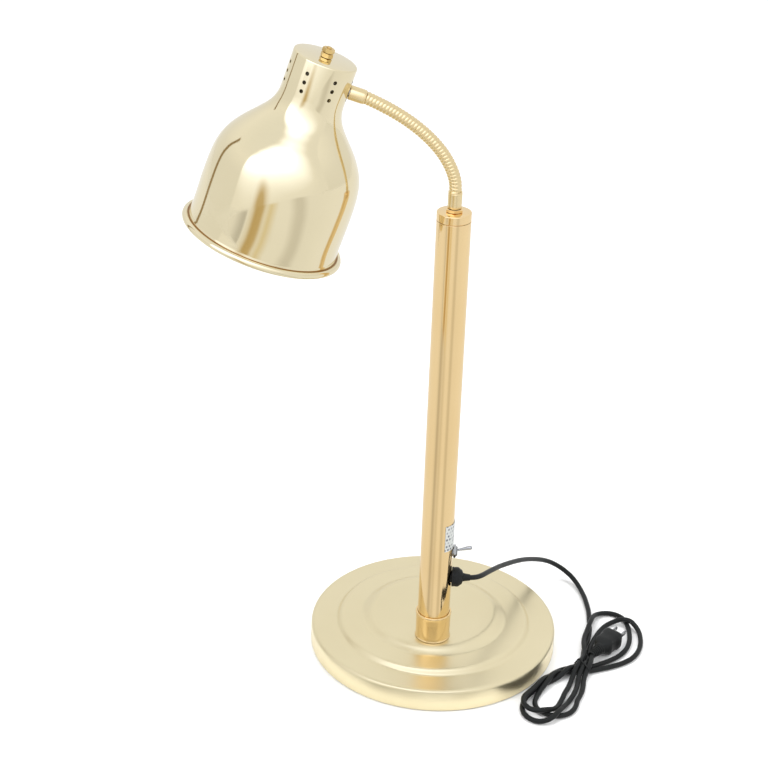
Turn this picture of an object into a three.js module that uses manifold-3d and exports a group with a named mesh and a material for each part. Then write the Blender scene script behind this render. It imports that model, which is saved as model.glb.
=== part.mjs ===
// Heat lamp warmer: a bell shade on a flexible neck, a plain column, a round stepped base,
// a toggle switch and a mains lead with its plug. Millimetres, +Z up.
// Origin: centre of the base's underside. The neck reaches out towards -X.
import * as THREE from "three";
import { mergeVertices } from "three/addons/utils/BufferGeometryUtils.js";
import Module from "manifold-3d";

const wasm = await Module();
wasm.setup();

// ---------------------------------------------------------------- driving dimensions
const GAP = 0.3; // clearance between touching pieces

// base
const BASE_R = 150;
const BASE_WALL = 1.5;
const PAD_T = 2;
const PLATE_T = 2;
const PLATEAU_Z = 42; // top of the base
const WEIGHT_R = 112;
const WEIGHT_TOP = 17;

// column, offset from the base's centre towards the front
const COLUMN_Y = -53;
const TUBE_R = 19;
const TUBE_WALL = 1.5;
const COLLAR_TOP = 77;
const CAP_JOINT_Z = 576;
const COLUMN_TOP = 586;

// switch, gland and label, all on the column's +X side
const SWITCH_Z = 160.6;
const LEVER_TILT = 15; // degrees above level when on
const GLAND_Z = 125;
const LABEL_Z0 = 168.2;
const LABEL_H = 34;

// neck: swings out in a plane turned ARM_TURN degrees from -X
const ARM_TURN = 5.5;
const HOSE_R = 7;
const HOSE_BORE = 4;
const FERRULE_R = 7.75;
const LINKS = 6;
const LINK_GAP = 0.9; // half the gap between two links, at their shared pivot

// shade
const SHADE_TILT = 18.2; // its top leans towards the column
const SHADE_S = 140.04; // top centre, distance from the column's axis
const SHADE_Z = 752.5;
const SHADE_NECK_R = 34.4;
const SHADE_LEN = 212;
const SHADE_WALL = 1.2;
const NECK_ENTRY = 27; // depth of the neck's entry below the shade's top
const VENT_R = 2.15;
const VENT_COLUMNS = 7;
const VENT_FIRST = -78.5; // turn of the first column of holes about the head's axis, from its +Y
const VENT_ROWS = 3;
const VENT_TOP = -14;
const VENT_PITCH = 9.7;
const TOP_NUT_AF = 11.6; // across the flats of the two nuts on the shade's stud

// mains lead
const CORD_R = 3.1;

// ---------------------------------------------------------------- helpers
const rad = (d) => (d * Math.PI) / 180;

function material(color, roughness, metalness) {
  return new THREE.MeshStandardMaterial({ color, roughness, metalness });
}
const GOLD = material(0xd9c79b, 0.14, 1.0);
const BRASS = material(0xc79a45, 0.25, 1.0);
const STEEL = material(0x9a9a9c, 0.4, 1.0);
const CHROME = material(0xd6d8da, 0.12, 1.0);
const IRON = material(0x3b3a39, 0.75, 0.6);
const PAD = material(0x1b1b1b, 0.95, 0.0);
const BLACK = material(0x1c1c1e, 0.5, 0.0);
const PORCELAIN = material(0xe9e5da, 0.35, 0.0);
const GLASS = material(0xe8e6df, 0.2, 0.0);
const LABEL = material(0xe4e4e2, 0.55, 0.0);

// A three.js geometry as a solid with its faces pointing out.
function solid(geometry) {
  const g = (geometry.index ? geometry.toNonIndexed() : geometry.clone());
  g.deleteAttribute("normal");
  g.deleteAttribute("uv");
  const m = mergeVertices(g, 1e-4);
  const tri = new Uint32Array(m.index.array);
  const make = () =>
    new wasm.Manifold(
      new wasm.Mesh({
        numProp: 3,
        vertProperties: new Float32Array(m.attributes.position.array),
        triVerts: tri,
      }),
    );
  const s = make();
  if (s.volume() >= 0) return s;
  for (let i = 0; i < tri.length; i += 3) [tri[i + 1], tri[i + 2]] = [tri[i + 2], tri[i + 1]];
  return make();
}

// A solid back as a three.js geometry.
function geometryOf(s) {
  const m = s.getMesh();
  const v = new Float32Array(m.numVert * 3);
  for (let i = 0; i < m.numVert; i++)
    v.set(m.vertProperties.subarray(i * m.numProp, i * m.numProp + 3), i * 3);
  const g = new THREE.BufferGeometry();
  g.setAttribute("position", new THREE.BufferAttribute(v, 3));
  g.setIndex(new THREE.BufferAttribute(new Uint32Array(m.triVerts), 1));
  g.computeVertexNormals();
  return g;
}

function add(group, name, geometryOrSolid, mat) {
  const g = geometryOrSolid.isBufferGeometry ? geometryOf(solid(geometryOrSolid)) : geometryOf(geometryOrSolid);
  const mesh = new THREE.Mesh(g, mat);
  mesh.name = name;
  group.add(mesh);
  return mesh;
}

// Revolved solid about Z from [radius, z] points.
function lathe(profile, segments) {
  const closed = profile[0][0] > 1e-6;
  const p = profile.map(([r, z]) => new THREE.Vector2(r, z));
  if (closed) p.push(p[0].clone());
  let area = 0;
  for (let i = 0; i < p.length; i++) {
    const a = p[i], b = p[(i + 1) % p.length];
    area += a.x * b.y - b.x * a.y;
  }
  if (area < 0) p.reverse();
  const g = new THREE.LatheGeometry(p, segments);
  g.rotateX(Math.PI / 2);
  return g;
}

const disc = (r, z0, z1, seg) => lathe([[0, z0], [r, z0], [r, z1], [0, z1]], seg);
const ring = (r0, r1, z0, z1, seg) => lathe([[r0, z0], [r1, z0], [r1, z1], [r0, z1]], seg);

// Prism of a regular hexagon, flat to flat `af`, with a round hole, from z0 to z1.
function hexNut(af, bore, z0, z1, boreSegments = 18) {
  const s = new THREE.Shape();
  const R = af / Math.sqrt(3);
  for (let i = 0; i < 6; i++) {
    const a = rad(60 * i + 30);
    if (i === 0) s.moveTo(R * Math.cos(a), R * Math.sin(a));
    else s.lineTo(R * Math.cos(a), R * Math.sin(a));
  }
  s.closePath();
  if (bore > 0) {
    const h = new THREE.Path();
    h.absarc(0, 0, bore, 0, 2 * Math.PI, true);
    s.holes.push(h);
  }
  const g = new THREE.ExtrudeGeometry(s, { depth: z1 - z0, bevelEnabled: false, curveSegments: boreSegments });
  g.translate(0, 0, z0);
  return g;
}

// Tube (or rod, when bore is 0) along a curve.
function tubeAlong(curve, r, bore, steps, sides) {
  const s = new THREE.Shape();
  const at = (R, i) => [R * Math.cos((2 * Math.PI * i) / sides), R * Math.sin((2 * Math.PI * i) / sides)];
  for (let i = 0; i < sides; i++) i === 0 ? s.moveTo(...at(r, i)) : s.lineTo(...at(r, i));
  s.closePath();
  if (bore > 0) {
    const h = new THREE.Path();
    for (let i = 0; i < sides; i++) i === 0 ? h.moveTo(...at(bore, -i)) : h.lineTo(...at(bore, -i));
    h.closePath();
    s.holes.push(h);
  }
  return new THREE.ExtrudeGeometry(s, { steps, extrudePath: curve, bevelEnabled: false });
}

const root = new THREE.Group();

// ---------------------------------------------------------------- base
// Soft pad under the whole base, then a steel closing plate.
add(root, "base_pad", disc(BASE_R - 3, 0, PAD_T, 56), PAD);
const PLATE_Z = PAD_T + GAP;
{
  const plate = solid(disc(BASE_R - 3, PLATE_Z, PLATE_Z + PLATE_T, 56));
  const hole = solid(disc(12.5, 0, 10, 24).translate(0, COLUMN_Y, 0));
  add(root, "bottom_plate", plate.subtract(hole), STEEL);
}
// Cast weight with a counterbore for the bolt's head.
const WEIGHT_Z = PLATE_Z + PLATE_T + GAP;
{
  const weight = solid(disc(WEIGHT_R, WEIGHT_Z, WEIGHT_TOP, 44));
  const pocket = solid(disc(12.5, 0, 11.5, 24).translate(0, COLUMN_Y, 0));
  const bore = solid(disc(5.6, 0, 40, 18).translate(0, COLUMN_Y, 0));
  add(root, "base_weight", weight.subtract(pocket).subtract(bore), IRON);
}
// Sleeve that carries the clamp load from the weight to the cover.
{
  const g = ring(6.1, 13, WEIGHT_TOP + GAP, PLATEAU_Z - BASE_WALL - GAP, 24);
  add(root, "base_spacer", g.translate(0, COLUMN_Y, 0), STEEL);
}
// Spun cover: skirt, rolled edge and two soft steps up to the plateau.
const SHELL_PROFILE = [
  [150, 1.0], [150, 22.3], [149.3, 25.2], [146.5, 27.2], [143, 27.5], [121, 27.6], [117.6, 29.2],
  [114.4, 32.7], [110.5, 34.0], [90, 34.4], [83.5, 36.7], [77.5, 40.5], [70, PLATEAU_Z], [0, PLATEAU_Z],
];
const SHELL_INSIDE = [
  [148.5, 1.0], [148.5, 22.6], [146.6, 25.3], [143, 26.0], [120.2, 26.1], [113.4, 31.4], [110, 32.5],
  [90, 32.9], [83, 35.1], [76.8, 39.1], [70, PLATEAU_Z - BASE_WALL], [0, PLATEAU_Z - BASE_WALL],
];
{
  const shell = solid(lathe([...[...SHELL_PROFILE].reverse(), ...SHELL_INSIDE], 48));
  const hole = solid(disc(5.6, 20, 60, 18).translate(0, COLUMN_Y, 0));
  add(root, "base_cover", shell.subtract(hole), GOLD);
}

// ---------------------------------------------------------------- column
const column = new THREE.Group();
column.position.set(0, COLUMN_Y, 0);
root.add(column);

const TUBE_IN = TUBE_R - TUBE_WALL;
const FOOT_Z = PLATEAU_Z + GAP;
// Foot bolt, washer, threaded plug and nut that hold the column down.
{
  const head = solid(hexNut(17, 0, 3.0, 9.4));
  const shank = solid(disc(5, 9.0, 73, 18));
  add(column, "foot_bolt", head.add(shank), STEEL);
}
add(column, "foot_washer", ring(5.4, 11, 9.7, 11.2, 24), STEEL);
add(column, "foot_plug", ring(5.5, TUBE_IN - GAP, FOOT_Z + 0.2, 60, 24), STEEL);
add(column, "foot_nut", hexNut(17, 5.4, 60.3, 68.3), STEEL);
// Collar round the column's foot, a little wider at its rolled lip.
add(
  column,
  "column_collar",
  lathe(
    [
      [TUBE_R + GAP, FOOT_Z], [20.5, FOOT_Z], [20.9, 73.2], [21.3, 74.4],
      [21.3, 75.8], [20.8, COLLAR_TOP], [TUBE_R + GAP, COLLAR_TOP],
    ],
    32,
  ),
  GOLD,
);
// Column tube with the gland's and the switch's holes on its +X side.
{
  const tube = solid(ring(TUBE_IN, TUBE_R, FOOT_Z, CAP_JOINT_Z, 32));
  const hole = (r, z) => solid(disc(r, 5, 40, 20).rotateY(Math.PI / 2).translate(0, 0, z));
  add(column, "column_tube", tube.subtract(hole(8, GLAND_Z)).subtract(hole(6.3, SWITCH_Z)), GOLD);
}
// Cap, flush with the tube, with a spigot inside it.
add(
  column,
  "column_cap",
  lathe(
    [
      [5.4, COLUMN_TOP], [TUBE_R - 0.8, COLUMN_TOP], [TUBE_R, COLUMN_TOP - 0.8], [TUBE_R, CAP_JOINT_Z + GAP],
      [TUBE_IN - GAP, CAP_JOINT_Z + GAP], [TUBE_IN - GAP, 562], [15.4, 562], [15.4, 583.5], [5.4, 583.5],
    ],
    32,
  ),
  GOLD,
);
// Hollow threaded nipple through the cap, its nut inside and its lock nut outside.
add(column, "neck_nipple", ring(3.1, 5, 572, 603, 18), STEEL);
add(column, "cap_inner_nut", hexNut(17, 5.3, 578.4, 583.2), STEEL);
add(column, "neck_lock_nut", hexNut(17.4, 5.3, COLUMN_TOP + GAP, 590), GOLD);

// Toggle switch: body inside, threaded bushing, hex nut and bat lever.
add(column, "switch_body", new THREE.BoxGeometry(14.4, 13, 27).translate(8.0, 0, SWITCH_Z), BLACK);
{
  const bush = solid(disc(5.9, 15.5, 24.6, 24));
  const bore = solid(lathe([[0, 16.4], [2.6, 16.4], [4.0, 24.6], [4.0, 26], [0, 26]], 20));
  const s = geometryOf(bush.subtract(bore)).rotateY(Math.PI / 2).translate(0, 0, SWITCH_Z);
  add(column, "switch_bushing", s, CHROME);
}
add(column, "switch_nut", hexNut(14, 6.2, 19.5, 22.8, 20).rotateY(Math.PI / 2).translate(0, 0, SWITCH_Z), CHROME);
const LEVER_PIVOT_X = 18.2;
{
  const lever = lathe(
    [[0, 0], [1.25, 0], [1.35, 6], [1.9, 13], [2.45, 19], [2.6, 21.3], [2.3, 22.9], [1.4, 23.9], [0, 24.2]],
    16,
  );
  lever.rotateY(Math.PI / 2 - rad(LEVER_TILT)).translate(LEVER_PIVOT_X, 0, SWITCH_Z);
  add(column, "switch_lever", lever, CHROME);
}

// Strain relief bushing for the lead.
{
  const body = lathe(
    [
      [CORD_R + GAP, 14], [7.2, 14], [7.6, 15.5], [7.6, 19.7], [11.2, 19.7], [11.5, 20.6], [11.5, 26.8],
      [10.6, 28.4], [8.9, 31.2], [6.4, 32.2], [CORD_R + GAP, 32.2],
    ],
    24,
  );
  add(column, "strain_relief", body.rotateY(Math.PI / 2).translate(0, 0, GLAND_Z), BLACK);
}
// Blank rating label wrapped on the column.
{
  const r0 = TUBE_R + GAP, r1 = TUBE_R + GAP + 0.3, half = rad(61);
  const s = new THREE.Shape();
  s.absarc(0, 0, r1, -half, half, false);
  s.absarc(0, 0, r0, half, -half, true);
  s.closePath();
  const g = new THREE.ExtrudeGeometry(s, { depth: LABEL_H, bevelEnabled: false, curveSegments: 12 });
  add(column, "rating_label", g.translate(0, 0, LABEL_Z0), LABEL);
}
// Lead tail inside the column, up to the switch, and the lamp wire from the switch to the nipple.
{
  const tail = new THREE.CatmullRomCurve3([
    new THREE.Vector3(31.6, 0, GLAND_Z), new THREE.Vector3(18, 0, GLAND_Z), new THREE.Vector3(6, 0, GLAND_Z + 1.5),
    new THREE.Vector3(-3, 0, GLAND_Z + 9), new THREE.Vector3(-4, 0, GLAND_Z + 21),
  ]);
  add(column, "lead_tail", tubeAlong(tail, CORD_R - 0.2, 0, 10, 8), BLACK);
  const wire = new THREE.CatmullRomCurve3([
    new THREE.Vector3(0, 0, SWITCH_Z + 14.2), new THREE.Vector3(-3, 0, 200), new THREE.Vector3(-8, 0, 260),
    new THREE.Vector3(-6, 3, 400), new THREE.Vector3(-3, 1, 520), new THREE.Vector3(0, 0, 566), new THREE.Vector3(0, 0, 602),
  ]);
  add(column, "lamp_wire", tubeAlong(wire, 2.3, 0, 18, 6), BLACK);
}

// ---------------------------------------------------------------- neck
// In this group X is the distance from the column's axis and XZ is the neck's plane.
const arm = new THREE.Group();
arm.position.set(0, COLUMN_Y, 0);
arm.rotation.z = rad(180 + ARM_TURN);
root.add(arm);

const T = rad(SHADE_TILT);
// Where the neck's axis meets the shade's wall.
const ENTRY = [
  SHADE_S + NECK_ENTRY * Math.sin(T) - SHADE_NECK_R * Math.cos(T),
  SHADE_Z - NECK_ENTRY * Math.cos(T) - SHADE_NECK_R * Math.sin(T),
];
const FERRULE_LEN = 17.5;
const HOSE_END = [ENTRY[0] - (FERRULE_LEN + 0.6) * Math.cos(T), ENTRY[1] - (FERRULE_LEN + 0.6) * Math.sin(T)];
const HOSE_START_Z = 609;

add(
  arm,
  "lower_ferrule",
  lathe(
    [
      [5.4, 590.3], [FERRULE_R - 0.5, 590.3], [FERRULE_R, 590.8], [FERRULE_R, HOSE_START_Z - 0.6],
      [FERRULE_R - 0.6, HOSE_START_Z], [3.6, HOSE_START_Z], [3.6, 604], [5.4, 604],
    ],
    24,
  ),
  GOLD,
);

// Centreline of the corrugated hose.
const hose = new THREE.CatmullRomCurve3(
  [
    [0, HOSE_START_Z - 8], [0, HOSE_START_Z], [0.9, 620], [5.2, 633], [13.2, 647.6], [23.8, 661], [37.2, 673.9],
    [52.4, 685.6], [67.7, 695.2], [82.9, 703.3], HOSE_END, ENTRY,
  ].map(([s, z]) => new THREE.Vector3(s, 0, z)),
  false,
  "centripetal",
);
hose.arcLengthDivisions = 2000;
// Arc positions of the hose's two ends on that curve.
const total = hose.getLength();
function arcAt(test) {
  for (let i = 0; i <= 4000; i++) if (test(hose.getPointAt(i / 4000))) return (total * i) / 4000;
  return total;
}
const A0 = arcAt((p) => p.z >= HOSE_START_Z);
const A1 = arcAt((p) => p.x >= HOSE_END[0]);

class Piece extends THREE.Curve {
  constructor(a, b) {
    super();
    this.a = a;
    this.b = b;
  }
  getPoint(t, target = new THREE.Vector3()) {
    return target.copy(hose.getPointAt((this.a + (this.b - this.a) * t) / total));
  }
}
for (let k = 0; k < LINKS; k++) {
  const a = A0 + ((A1 - A0) * k) / LINKS + (k === 0 ? GAP : LINK_GAP);
  const b = A0 + ((A1 - A0) * (k + 1)) / LINKS - (k === LINKS - 1 ? 0.7 : LINK_GAP);
  add(arm, `neck_link_${k + 1}`, tubeAlong(new Piece(a, b), HOSE_R, HOSE_BORE, 3, 12), GOLD);
}

// ---------------------------------------------------------------- head
// In this group Z is the shade's axis, with its top at 0, and X points away from the column.
const head = new THREE.Group();
head.position.set(SHADE_S, 0, SHADE_Z);
head.rotation.y = -T;
arm.add(head);

const alongX = (g, z) => g.rotateY(Math.PI / 2).translate(0, 0, z);
const WALL_X = -SHADE_NECK_R;
add(
  head,
  "upper_ferrule",
  alongX(
    lathe(
      [
        [4.9, WALL_X - 0.5], [FERRULE_R - 0.4, WALL_X - 0.5], [FERRULE_R, WALL_X - 1.2],
        [FERRULE_R, WALL_X - FERRULE_LEN], [FERRULE_R - 0.6, WALL_X - FERRULE_LEN - 0.6],
        [4.9, WALL_X - FERRULE_LEN - 0.6],
      ],
      24,
    ),
    -NECK_ENTRY,
  ),
  GOLD,
);
add(head, "head_nipple", alongX(ring(3.0, 4.6, WALL_X - 9, WALL_X + 8.2, 18), -NECK_ENTRY), STEEL);
add(head, "head_nipple_nut", alongX(hexNut(14, 4.9, WALL_X + 2.9, WALL_X + 6.9), -NECK_ENTRY), STEEL);

// Shade: neck, bell shoulder, slightly barrelled body and a rolled bead at the mouth.
const SHADE_OUT = [
  [0, 0], [33.4, 0], [SHADE_NECK_R, -1.4], [SHADE_NECK_R, -42], [35.3, -50], [37.6, -58],
  [42.1, -66], [48.4, -74], [55.4, -82], [62.3, -90], [68.6, -98], [74.4, -108], [78.8, -120], [81.2, -135],
  [82.2, -158], [82.0, -190], [83.0, -200], [84.6, -205.0],
  [87.2, -205.8], [89.4, -208.8], [88.2, -211.4], [86.2, -SHADE_LEN],
];
const SHADE_IN = [
  [83.6, -210.6], [82.9, -204.0], [80.8, -190], [81.0, -158], [78.4, -127], [73.2, -108.6], [61.4, -90.8],
  [47.4, -74.8], [41.1, -66.8], [36.4, -58.3], [33.2, -42], [33.2, -2.6], [32.4, -SHADE_WALL], [0, -SHADE_WALL],
];
{
  let shell = solid(lathe([...SHADE_OUT, ...SHADE_IN], 42));
  shell = shell.subtract(solid(disc(3.3, -5, 5, 16)));
  shell = shell.subtract(solid(alongX(disc(5.0, WALL_X - 6, WALL_X + 6, 18), -NECK_ENTRY)));
  for (let c = 0; c < VENT_COLUMNS; c++)
    for (let i = 0; i < VENT_ROWS; i++) {
      const hole = disc(VENT_R, SHADE_NECK_R - 5, SHADE_NECK_R + 5, 10);
      hole.rotateX(-Math.PI / 2); // along +Y
      hole.rotateZ(rad(VENT_FIRST + (360 / VENT_COLUMNS) * c));
      hole.translate(0, 0, VENT_TOP - VENT_PITCH * i);
      shell = shell.subtract(solid(hole));
    }
  add(head, "shade", shell, GOLD);
}

// Threaded stud through the shade's top, with its nuts, carrying the lampholder's bracket.
add(head, "top_stud", disc(2.9, -13.5, 11.6, 16), BRASS);
add(head, "top_nut_lower", hexNut(TOP_NUT_AF, 3.2, GAP, 5.1, 12), BRASS);
add(head, "top_nut_upper", hexNut(TOP_NUT_AF, 3.2, 5.5, 10.3, 12), BRASS);
add(head, "under_nut", hexNut(10, 3.2, -5.4, -SHADE_WALL - GAP, 12), STEEL);
{
  const s = new THREE.Shape();
  const W = 22.4, t = 1.2, top = -5.8, foot = -36;
  s.moveTo(-W, foot);
  s.lineTo(-W, top);
  s.lineTo(W, top);
  s.lineTo(W, foot);
  s.lineTo(W - t, foot);
  s.lineTo(W - t, top - t);
  s.lineTo(-W + t, top - t);
  s.lineTo(-W + t, foot);
  s.closePath();
  const g = new THREE.ExtrudeGeometry(s, { depth: 12, bevelEnabled: false });
  g.translate(0, 0, -6).rotateX(Math.PI / 2).rotateZ(Math.PI / 2);
  add(head, "holder_bracket", solid(g).subtract(solid(disc(3.2, -12, 0, 16))), STEEL);
}
add(head, "bracket_nut", hexNut(10, 3.2, -11.4, -7.4, 12), STEEL);
// Porcelain lampholder, open downwards, with its brass screw shell.
add(
  head,
  "lampholder",
  lathe(
    [
      [0, -15], [17.5, -15], [19.6, -17], [19.6, -50.5], [18.2, -52], [14.6, -52], [14.6, -20.5], [0, -20.5],
    ],
    32,
  ),
  PORCELAIN,
);
add(head, "screw_shell", ring(13.5, 14.2, -49, -21, 28), BRASS);
add(
  head,
  "bulb_cap",
  lathe([[0, -23], [5, -23], [5.2, -25.5], [11.5, -28], [13.1, -30], [13.1, -53.4], [0, -53.4]], 24),
  STEEL,
);
// Reflector bulb: a thin glass envelope, open at its cap.
add(
  head,
  "bulb_glass",
  lathe(
    [
      [14.6, -53.7], [15.6, -53.7], [17.2, -60], [20.5, -70], [27.5, -84], [36.5, -98], [46.0, -114], [54.6, -130],
      [60.6, -145], [63.4, -160], [60.6, -173], [50.5, -183.6], [34.0, -190.6], [0, -194.2],
      [0, -193.1], [33.6, -189.5], [49.9, -182.6], [59.6, -172.4], [62.3, -160], [59.6, -145.6], [53.6, -130.4],
      [45.0, -114.4], [35.5, -98.4], [26.5, -84.5], [19.4, -70.4], [16.2, -60.2],
    ],
    26,
  ),
  GLASS,
);
// Wire from the neck's nipple to the lampholder's cap.
{
  const w = new THREE.CatmullRomCurve3([
    new THREE.Vector3(WALL_X - 8, 0, -NECK_ENTRY), new THREE.Vector3(WALL_X + 7, 0, -NECK_ENTRY),
    new THREE.Vector3(-23.7, 0, -25.2), new THREE.Vector3(-22.2, 0, -20), new THREE.Vector3(-20.2, 0, -14.6),
    new THREE.Vector3(-15, 0, -12.9), new THREE.Vector3(-9.5, 0, -12.9),
  ]);
  add(head, "head_wire", tubeAlong(w, 1.3, 0, 14, 6), BLACK);
}

// ---------------------------------------------------------------- mains lead
// Lead: out of the gland, over the base's edge and down to the table, then along it to the hank.
const LEAD = [
  [33.0, -53.0, 125.0], [38.0, -53.0, 124.9], [44.0, -51.2, 124.1], [50.0, -45.9, 122.0], [55.4, -37.6, 119.2],
  [60.6, -26.5, 115.6], [65.8, -14.0, 111.2], [70.6, -2.0, 106.6], [76.5, 14.0, 99.9], [82.3, 26.9, 94.5],
  [90.1, 43.9, 87.2], [97.9, 60.8, 79.5], [105.7, 77.4, 71.5], [113.5, 93.6, 63.0], [121.6, 109.4, 54.0],
  [130.3, 124.4, 44.8], [139.9, 138.3, 35.3], [151.6, 149.0, 25.2], [165.4, 151.8, 15.4], [178.2, 143.4, 8.6],
  [187.2, 126.2, 4.9], [193.0, 105.6, 3.6], [196.1, 84.0, 3.2], [197.3, 70.0, 3.2], [197.5, 62.4, 3.2],
].map(([x, y, z]) => new THREE.Vector3(x, y, z));
const leadCurve = new THREE.CatmullRomCurve3(LEAD, false, "centripetal");
add(root, "cord_lead", tubeAlong(leadCurve, CORD_R, 0, 34, 8), BLACK);

// Plug: its axis lies level, pointing away from the hank's tie.
const plug = new THREE.Group();
plug.position.set(203.6, -22.4, 11.3);
plug.rotation.z = Math.atan2(46, 33);
root.add(plug);
add(plug, "plug_boot", alongX(lathe([[CORD_R + GAP, -16], [5.0, -16], [5.6, -10], [7.4, -1], [7.6, 3.2], [CORD_R + GAP, 3.2]], 20), 0), BLACK);
{
  // Moulded body: rounded, a little deeper at its face.
  const s = new THREE.Shape();
  const w = 12, h = 11, c = 5.5;
  s.moveTo(-w + c, -h);
  s.lineTo(w - c, -h);
  s.absarc(w - c, -h + c, c, -Math.PI / 2, 0, false);
  s.lineTo(w, h - c);
  s.absarc(w - c, h - c, c, 0, Math.PI / 2, false);
  s.lineTo(-w + c, h);
  s.absarc(-w + c, h - c, c, Math.PI / 2, Math.PI, false);
  s.lineTo(-w, -h + c);
  s.absarc(-w + c, -h + c, c, Math.PI, 1.5 * Math.PI, false);
  s.closePath();
  const g = new THREE.ExtrudeGeometry(s, { depth: 33, bevelEnabled: false, curveSegments: 4 });
  // section X -> across (Y), section Y -> up (Z), depth -> along X
  g.rotateY(Math.PI / 2).rotateX(Math.PI / 2).translate(3.5, 0, 0);
  let body = solid(g);
  for (const y of [-6.35, 6.35]) body = body.subtract(solid(new THREE.BoxGeometry(12, 2.1, 7.0).translate(34.5, y, 2)));
  body = body.subtract(solid(alongX(disc(2.7, 28.5, 40, 14), -6.2)));
  add(plug, "plug_body", body, BLACK);
  add(plug, "plug_blade_line", new THREE.BoxGeometry(24, 1.5, 6.35).translate(41.2, -6.35, 2), CHROME);
  add(plug, "plug_blade_neutral", new THREE.BoxGeometry(24, 1.5, 6.35).translate(41.2, 6.35, 2), CHROME);
  add(plug, "plug_ground_pin", alongX(lathe([[0, 29.2], [2.35, 29.2], [2.35, 55], [1.2, 56.6], [0, 56.6]], 14), -6.2), CHROME);
}

// Hank: five folded loops bound by a tie at their middle, round the plug.
const HANK_H = 13;
const outline = [
  [173.7, -42.9], [163, -55], [152, -68], [140, -81.5], [127, -96], [114.5, -112.5], [106, -128], [103.8, -142],
  [108, -155.5], [117.5, -166], [131, -169.6], [145, -163.6], [159, -153.6], [171.5, -139], [180.5, -118],
  [186.0, -96], [189.6, -79], [192.3, -68.6], [194.9, -66.8], [212, -57], [230, -49.6], [246, -38.6], [256, -22],
  [260.4, -2], [260.6, 22], [255.6, 42], [246.6, 60], [236, 74], [222.5, 80.2], [208.4, 74.6], [202.4, 62.0],
  [193.0, 62.0], [191.6, 36], [186.4, 4], [181, -18], [176.3, -41.0],
];
{
  const s = new THREE.Shape();
  outline.forEach(([x, y], i) => (i === 0 ? s.moveTo(x, y) : s.lineTo(x, y)));
  s.closePath();
  // room for the plug inside the upper loops
  const h = new THREE.Path();
  [
    [194.2, -44.4], [186.6, -34.0], [199.5, -3.0], [206.2, 24.0], [222.0, 44.0], [238.0, 40.0], [247.0, 27.0],
    [247.0, 6.0], [236.0, -14.0], [214.0, -35.0],
  ].forEach(([x, y], i) => (i === 0 ? h.moveTo(x, y) : h.lineTo(x, y)));
  h.closePath();
  s.holes.push(h);
  add(root, "cord_hank", new THREE.ExtrudeGeometry(s, { depth: HANK_H, bevelEnabled: false }), BLACK);
}
// Tie: an arch over the hank's waist.
{
  const tie = new THREE.Group();
  tie.position.set(184.3, -54.8, 0);
  tie.rotation.z = Math.atan2(0.586, 0.81);
  root.add(tie);
  const s = new THREE.Shape();
  const w = 17.6, h = 14.6, t = 1.3;
  [[-w, GAP], [-w, h], [w, h], [w, GAP], [w - t, GAP], [w - t, h - t], [t - w, h - t], [t - w, GAP]].forEach(([x, y], i) =>
    i === 0 ? s.moveTo(x, y) : s.lineTo(x, y),
  );
  s.closePath();
  const g = new THREE.ExtrudeGeometry(s, { depth: 2.2, bevelEnabled: false });
  g.translate(0, 0, -1.1).rotateX(Math.PI / 2).rotateZ(Math.PI / 2);
  add(tie, "cord_tie", g, BLACK);
}

export default root;
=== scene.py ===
# Looks of the heat lamp warmer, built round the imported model. Metres, +Z up.
import bpy
import bmesh
import math
import numpy as np
from mathutils import Matrix, Vector


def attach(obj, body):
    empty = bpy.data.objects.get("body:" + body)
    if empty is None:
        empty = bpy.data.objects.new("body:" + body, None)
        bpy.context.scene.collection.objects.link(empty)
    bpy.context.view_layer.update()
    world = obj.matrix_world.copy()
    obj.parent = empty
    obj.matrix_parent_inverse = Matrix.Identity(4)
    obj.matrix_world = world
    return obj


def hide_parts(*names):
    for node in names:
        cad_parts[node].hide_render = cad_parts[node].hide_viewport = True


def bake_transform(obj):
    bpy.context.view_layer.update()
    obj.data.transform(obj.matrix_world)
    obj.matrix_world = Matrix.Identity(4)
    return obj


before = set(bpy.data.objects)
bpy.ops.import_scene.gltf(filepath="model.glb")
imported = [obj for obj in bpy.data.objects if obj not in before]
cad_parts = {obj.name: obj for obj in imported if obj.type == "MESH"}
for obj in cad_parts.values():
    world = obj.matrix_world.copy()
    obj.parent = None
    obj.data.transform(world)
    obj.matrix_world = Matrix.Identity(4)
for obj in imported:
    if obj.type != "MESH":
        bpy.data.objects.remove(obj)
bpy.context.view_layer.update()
MM = 0.001

# ------------------------------------------------------------------ camera
cam_data = bpy.data.cameras.new("camera")
cam_data.sensor_width = 36.0
cam_data.lens = 84.375
cam_data.clip_start, cam_data.clip_end = 0.05, 60.0
cam = bpy.data.objects.new("camera", cam_data)
RIGHT = (0.99806078, 0.05378474, 0.03133489)
UP = (-0.05211917, 0.4468377, 0.89309555)
BACK = (0.0340333, -0.89299679, 0.4487744)
m = Matrix.Identity(4)
for r in range(3):
    m[r][0], m[r][1], m[r][2] = RIGHT[r], UP[r], BACK[r]
m[0][3], m[1][3], m[2][3] = 0.0, -1.85925, 1.28286
cam.matrix_world = m
bpy.context.scene.collection.objects.link(cam)
bpy.context.scene.camera = cam


# ------------------------------------------------------------------ materials
def principled(name):
    mat = bpy.data.materials.new(name)
    mat.use_nodes = True
    nt = mat.node_tree
    return mat, nt, nt.nodes["Principled BSDF"]


def put(nt, kind, **inputs):
    n = nt.nodes.new(kind)
    for k, v in inputs.items():
        n.inputs[k].default_value = v
    return n


def ramp(nt, fac, stops):
    n = nt.nodes.new("ShaderNodeValToRGB")
    while len(n.color_ramp.elements) < len(stops):
        n.color_ramp.elements.new(0.5)
    for e, (p, c) in zip(n.color_ramp.elements, stops):
        e.position = p
        e.color = c if len(c) == 4 else (*c, 1)
    nt.links.new(fac, n.inputs["Fac"])
    return n.outputs["Color"]


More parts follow.
